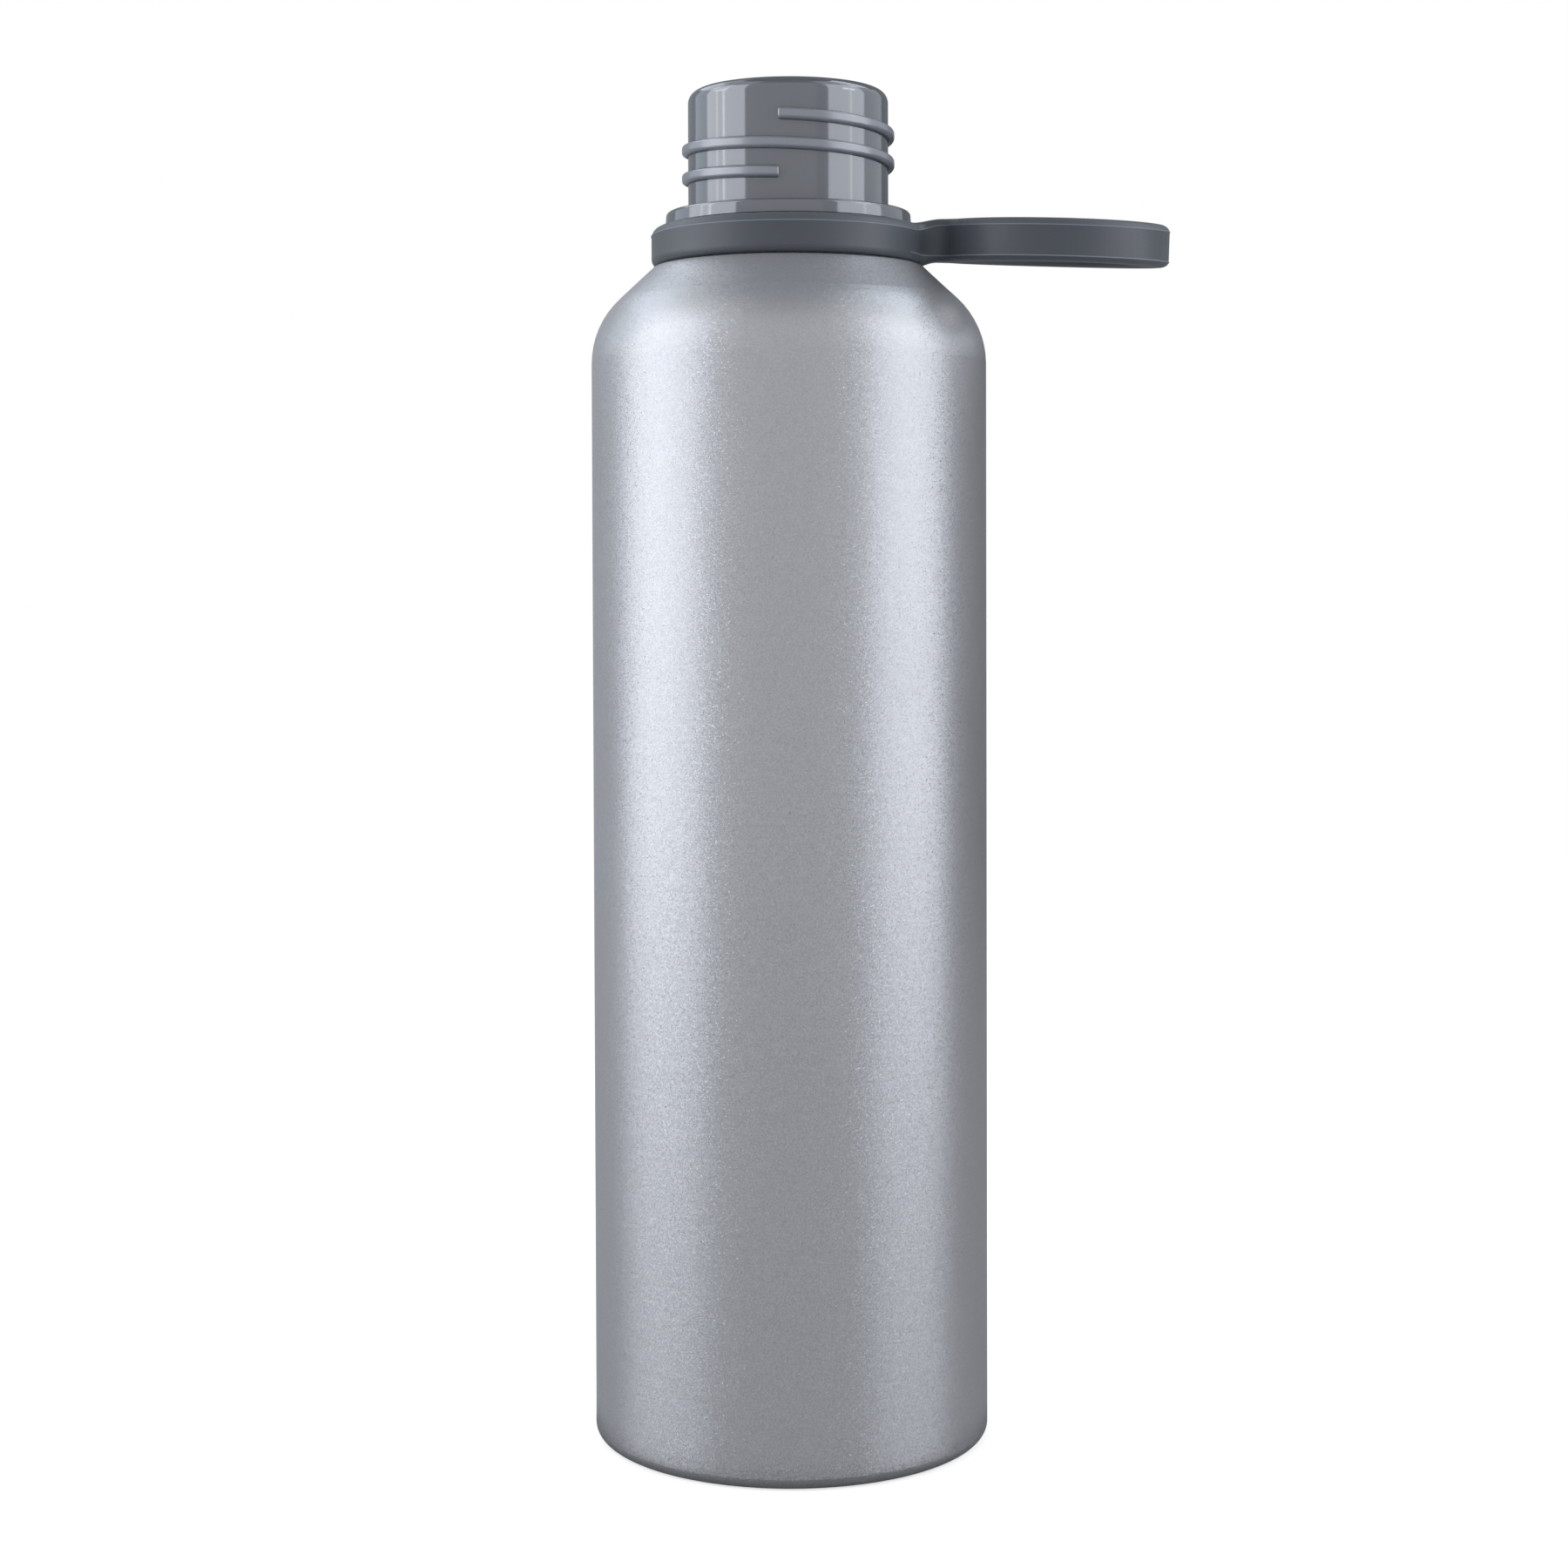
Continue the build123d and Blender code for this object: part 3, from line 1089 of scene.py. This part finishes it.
def strap_blank(bm, plan, settings):
    """Build the strap's outer edge flat, and give its top and bottom outlines."""
    seam = bm.verts.layers.float.new("seam")
    outline = plan.draw(bm)
    rows = {point: strap_rows(settings, plan, point.co.x) for point in bm.verts}
    out = {point: plan.outward(point.co) for point in bm.verts}
    for point, heights in rows.items():
        inset, height = heights[0]
        point.co += Vector((0, 0, height)) - out[point] * inset
    edges = bottom = outline
    count = len(next(iter(rows.values())))
    for row in range(1, count):
        made = bmesh.ops.extrude_edge_only(bm, edges=edges)["geom"]
        fresh = {item for item in made if isinstance(item, bmesh.types.BMVert)}
        for point in fresh:
            ends = [edge.other_vert(point) for edge in point.link_edges]
            below = next(end for end in ends if end not in fresh)
            inset, height = (now - old for now, old in zip(rows[below][row], rows[below][row - 1]))
            point.co += Vector((0, 0, height)) - out[below] * inset
            rows[point] = rows[below]
            out[point] = out[below]
            # Marks the raised mould line's points, which the rubber paints paler as a painted highlight.
            point[seam] = 1.0 if rows[below][row][0] < 0 else 0.0
        edges = [item for item in made if isinstance(item, bmesh.types.BMEdge) and item.is_boundary]
    return edges, bottom


class BOTTLE_OT_strap(Operator):
    """Mould the strap in one piece and bend it as it hangs"""

    bl_idname = "bottle.strap"
    bl_label = "Rubber Strap"

    def execute(self, context):
        settings = context.scene.bottle.strap
        plan = StrapPlan(settings)
        half = settings.thickness / 2
        bm = bmesh.new()
        top, bottom = strap_blank(bm, plan, settings)
        ring_top, ring_bottom = hole_walls(
            bm, 0, settings.ring_hole_radius, half, 0, RING_HOLE_EDGE, RING_HOLE_EDGE
        )
        loop_top, loop_bottom = hole_walls(
            bm,
            plan.loop_x,
            LOOP_HOLE_RADIUS,
            half,
            settings.loop_extra,
            settings.loop_bevel,
            settings.loop_bevel_height,
        )
        bmesh.ops.triangle_fill(bm, edges=top + ring_top + loop_top, use_beauty=True)
        bmesh.ops.triangle_fill(bm, edges=bottom + ring_bottom + loop_bottom, use_beauty=True)
        first = RING_RADIUS * BEND_START
        length = plan.loop_x + plan.loop_radius - first
        for cut in range(BEND_CUTS):
            x = first + length * cut / BEND_CUTS
            bmesh.ops.bisect_plane(
                bm,
                geom=bm.verts[:] + bm.edges[:] + bm.faces[:],
                plane_co=(x, 0, 0),
                plane_no=(1, 0, 0),
            )
        mount = MOUNTS["carry_loop"]
        up = Vector(mount["axis"]).normalized()
        along = Vector((up.z, 0, -up.x)).normalized()
        up.rotate(Matrix.Rotation(-settings.loop_settle, 3, along))
        across = up.cross(along)
        centre = Vector(mount["pos_m"])
        for point in bm.verts:
            x, y, z = point.co
            share = plan.share(x)
            level = Vector((x, y, z + RING_MIDDLE))
            reach = (x - plan.loop_x) / plan.loop_radius
            bow = settings.arch * (1 - reach * reach)
            lift = z + bow - settings.loop_extra / 2 - settings.tip_drop * reach
            tilted = centre + along * (x - plan.loop_x) + across * y + up * lift
            point.co = level.lerp(tilted, share)
        rubber = strap_rubber(settings)
        strap = finish_piece(bm, "rubber_strap", rubber, None)
        keep_flats(strap)
        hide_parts("strap_ring", "strap_web", "strap_loop")
        reach = plan.half_length
        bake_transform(strap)
        return {"FINISHED"}


class BOTTLE_OT_inside(Operator):
    """Finish the liner, its base and the mouth's washer"""

    bl_idname = "bottle.inside"
    bl_label = "Inside"

    def execute(self, context):
        steel = turned_steel("Liner Steel", 0.24, 0.36, 0.00001)
        dress("inner_liner", steel)
        dress("inner_base", steel)
        dress("mouth_seal", clear_silicone())
        return {"FINISHED"}


class BOTTLE_OT_underside(Operator):
    """Finish the cover, the seal bead and the getter"""

    bl_idname = "bottle.underside"
    bl_label = "Underside"

    def execute(self, context):
        dress("base_cover", turned_steel("Cover Steel", 0.3, 0.42, 0.00002))
        dress("seal_bead", solder_glass())
        dress("getter", getter_alloy())
        return {"FINISHED"}


# Stage


def link(name, data):
    """Put new data in the scene."""
    item = bpy.data.objects.new(name, data)
    bpy.context.scene.collection.objects.link(item)
    return item


def add_softbox(name, azimuth, distance, size, middle, level):
    """Stand an upright area lamp round the bottle; azimuth 0 is the camera's side."""
    data = bpy.data.lights.new(name, "AREA")
    data.shape = "RECTANGLE"
    data.size, data.size_y = size
    data.energy = level * math.pi * size[0] * size[1]
    data.color = (0.93, 0.965, 1.03)
    lamp = link(name, data)
    turn = math.radians(azimuth)
    lamp.location = (math.sin(turn) * distance, -math.cos(turn) * distance, middle)
    aim = Vector((0, 0, middle)) - lamp.location
    lamp.rotation_euler = aim.to_track_quat("-Z", "Y").to_euler()
    lamp.visible_camera = False
    return lamp


def glow(name, level, cool=0.0):
    """Plain material of an even brightness and a touch of blue, for the boards round the set."""
    material = bpy.data.materials.new(name)
    material.use_nodes = True
    tree = material.node_tree
    tree.nodes.clear()
    colour = (level * (1 - cool), level, level * (1 + cool), 1.0)
    shader = add_node(tree, "ShaderNodeEmission", {"Color": colour, "Strength": 1.0})
    output = add_node(tree, "ShaderNodeOutputMaterial")
    tree.links.new(shader.outputs[0], output.inputs["Surface"])
    return material


def only_in_reflections(item):
    """Let a board show in polished surfaces alone."""
    item.visible_camera = False
    item.visible_diffuse = False
    item.visible_shadow = False
    item.visible_transmission = False
    item.visible_volume_scatter = False


def add_board(name, start, end, radius, bottom, top, level, cool=0.0):
    """Bend an upright board round the set from one azimuth to another."""
    bm = bmesh.new()
    low = bm.verts.new((0, -radius, bottom))
    high = bm.verts.new((0, -radius, top))
    edge = bm.edges.new((low, high))
    turn = Matrix.Rotation(math.radians(start), 3, "Z")
    bmesh.ops.rotate(bm, verts=bm.verts, cent=(0, 0, 0), matrix=turn)
    bmesh.ops.spin(
        bm,
        geom=[low, high, edge],
        cent=(0, 0, 0),
        axis=(0, 0, 1),
        angle=math.radians(end - start),
        steps=24,
    )
    mesh = bpy.data.meshes.new(name)
    bm.to_mesh(mesh)
    bm.free()
    mesh.materials.append(glow(name, level, cool))
    only_in_reflections(link(name, mesh))


def add_sheet(name, radius, height, material):
    """Lay a flat round sheet at a height."""
    bm = bmesh.new()
    bmesh.ops.create_circle(bm, segments=64, radius=radius, cap_ends=True)
    bmesh.ops.translate(bm, verts=bm.verts, vec=(0, 0, height))
    mesh = bpy.data.meshes.new(name)
    bm.to_mesh(mesh)
    bm.free()
    mesh.materials.append(material)
    return link(name, mesh)


def seen_mask(tree):
    """Give 1 for rays from the camera, in reflections and through clear material."""
    rays = add_node(tree, "ShaderNodeLightPath").outputs
    two = add_node(
        tree, "ShaderNodeMath", {0: rays["Is Camera Ray"], 1: rays["Is Glossy Ray"]}, operation="ADD"
    )
    three = add_node(
        tree, "ShaderNodeMath", {0: two.outputs[0], 1: rays["Is Transmission Ray"]}, operation="ADD"
    )
    three.use_clamp = True
    return three.outputs[0]


def floor_material():
    """White paper that keeps the shadow and reads white where it is lit."""
    material = bpy.data.materials.new("White Floor")
    material.use_nodes = True
    tree = material.node_tree
    tree.nodes.clear()
    paper = add_node(
        tree, "ShaderNodeBsdfPrincipled", {"Base Color": (0.7, 0.7, 0.7, 1.0), "Roughness": 0.9}
    )
    paper.inputs["Specular IOR Level"].default_value = 0.0
    lift = add_node(
        tree,
        "ShaderNodeMath",
        {0: seen_mask(tree), 1: FLOOR_LIFT},
        operation="MULTIPLY",
    )
    shine = add_node(tree, "ShaderNodeEmission", {"Strength": lift.outputs[0]})
    both = add_node(tree, "ShaderNodeAddShader", {0: paper.outputs[0], 1: shine.outputs[0]})
    output = add_node(tree, "ShaderNodeOutputMaterial")
    tree.links.new(both.outputs[0], output.inputs["Surface"])
    return material


def table_material():
    """Pale table top that the lower body mirrors."""
    material, tree, shader = start_material("Table Top")
    shader.inputs["Base Color"].default_value = (0.38, 0.38, 0.39, 1.0)
    shader.inputs["Roughness"].default_value = 0.22
    shader.inputs["Specular IOR Level"].default_value = 1.0
    shader.inputs["IOR"].default_value = 1.8
    return material


def light_world(fill):
    """Light evenly from all round, in front of a white background."""
    world = bpy.data.worlds.new("Studio")
    bpy.context.scene.world = world
    world.use_nodes = True
    tree = world.node_tree
    tree.nodes.clear()
    level = add_node(
        tree, "ShaderNodeMapRange", {"Value": seen_mask(tree), "To Min": fill, "To Max": 1.0}
    )
    shader = add_node(tree, "ShaderNodeBackground", {"Strength": level.outputs["Result"]})
    shader.inputs["Color"].default_value = (1.0, 1.0, 1.0, 1.0)
    output = add_node(tree, "ShaderNodeOutputWorld")
    tree.links.new(shader.outputs[0], output.inputs["Surface"])


class BOTTLE_OT_stage(Operator):
    """Set up the floor, boards, lamps and camera"""

    bl_idname = "bottle.stage"
    bl_label = "Stage"

    def execute(self, context):
        scene = context.scene
        settings = scene.bottle.stage
        scene.view_settings.view_transform = "Standard"
        light_world(settings.fill_level)
        add_sheet("floor", 8.0, 0.0, floor_material())
        only_in_reflections(add_sheet("table_top", 0.8, 0.00002, table_material()))
        # Painted shadow: a near-black disc under the base, seen only in reflections, stands in for the contact
        # shadow that the base mirrors.
        only_in_reflections(add_sheet("painted_contact_shadow", 0.041, 0.00004, glow("Painted Contact Shadow", 0.02)))
        only_in_reflections(add_sheet("ceiling_board", 0.68, 1.6, glow("Ceiling Board", 0.2, 0.12)))
        add_softbox("left_softbox", -77.2, 0.6, (0.63, 0.76), 0.38, settings.left_level)
        add_softbox("right_softbox", 71.0, 0.6, (0.56, 0.76), 0.38, settings.right_level)
        for board in BOARDS:
            add_board(*board)
        data = bpy.data.cameras.new("camera")
        data.sensor_width = 36.0
        data.lens = CAMERA_LENS
        data.shift_y = CAMERA_SHIFT
        data.clip_start = 0.01
        camera = link("camera", data)
        place = Matrix.Translation((CAMERA_SIDE, -settings.distance, settings.height))
        tilt = Matrix.Rotation(math.radians(90) - CAMERA_TILT, 4, "X")
        roll = Matrix.Rotation(CAMERA_ROLL, 4, "Z")
        camera.matrix_world = place @ tilt @ roll
        scene.camera = camera
        return {"FINISHED"}


class BOTTLE_PT_panel(Panel):
    """List the steps that build the bottle"""

    bl_label = "Bottle"
    bl_idname = "BOTTLE_PT_panel"
    bl_space_type = "VIEW_3D"
    bl_region_type = "UI"
    bl_category = "Bottle"

    def draw(self, context):
        layout = self.layout
        settings = context.scene.bottle
        for group in (settings.coat, settings.collar, settings.strap, settings.stage):
            box = layout.box()
            for name in group.__annotations__:
                box.prop(group, name)
        for operator in OPERATORS:
            layout.operator(operator.bl_idname)


OPERATORS = (
    BOTTLE_OT_body,
    BOTTLE_OT_collar,
    BOTTLE_OT_strap,
    BOTTLE_OT_inside,
    BOTTLE_OT_underside,
    BOTTLE_OT_stage,
)
CLASSES = (
    CoatSettings,
    CollarSettings,
    StrapSettings,
    StageSettings,
    BottleSettings,
    *OPERATORS,
    BOTTLE_PT_panel,
)


def register():
    """Add the classes and the settings."""
    for item in CLASSES:
        bpy.utils.register_class(item)
    bpy.types.Scene.bottle = PointerProperty(type=BottleSettings)


def unregister():
    """Remove the settings and the classes."""
    del bpy.types.Scene.bottle
    for item in reversed(CLASSES):
        bpy.utils.unregister_class(item)


def main():
    """Build the bottle and the stage in order."""
    register()
    bpy.ops.bottle.body()
    bpy.ops.bottle.collar()
    bpy.ops.bottle.strap()
    bpy.ops.bottle.inside()
    bpy.ops.bottle.underside()
    bpy.ops.bottle.stage()


if __name__ == "__main__":
    main()
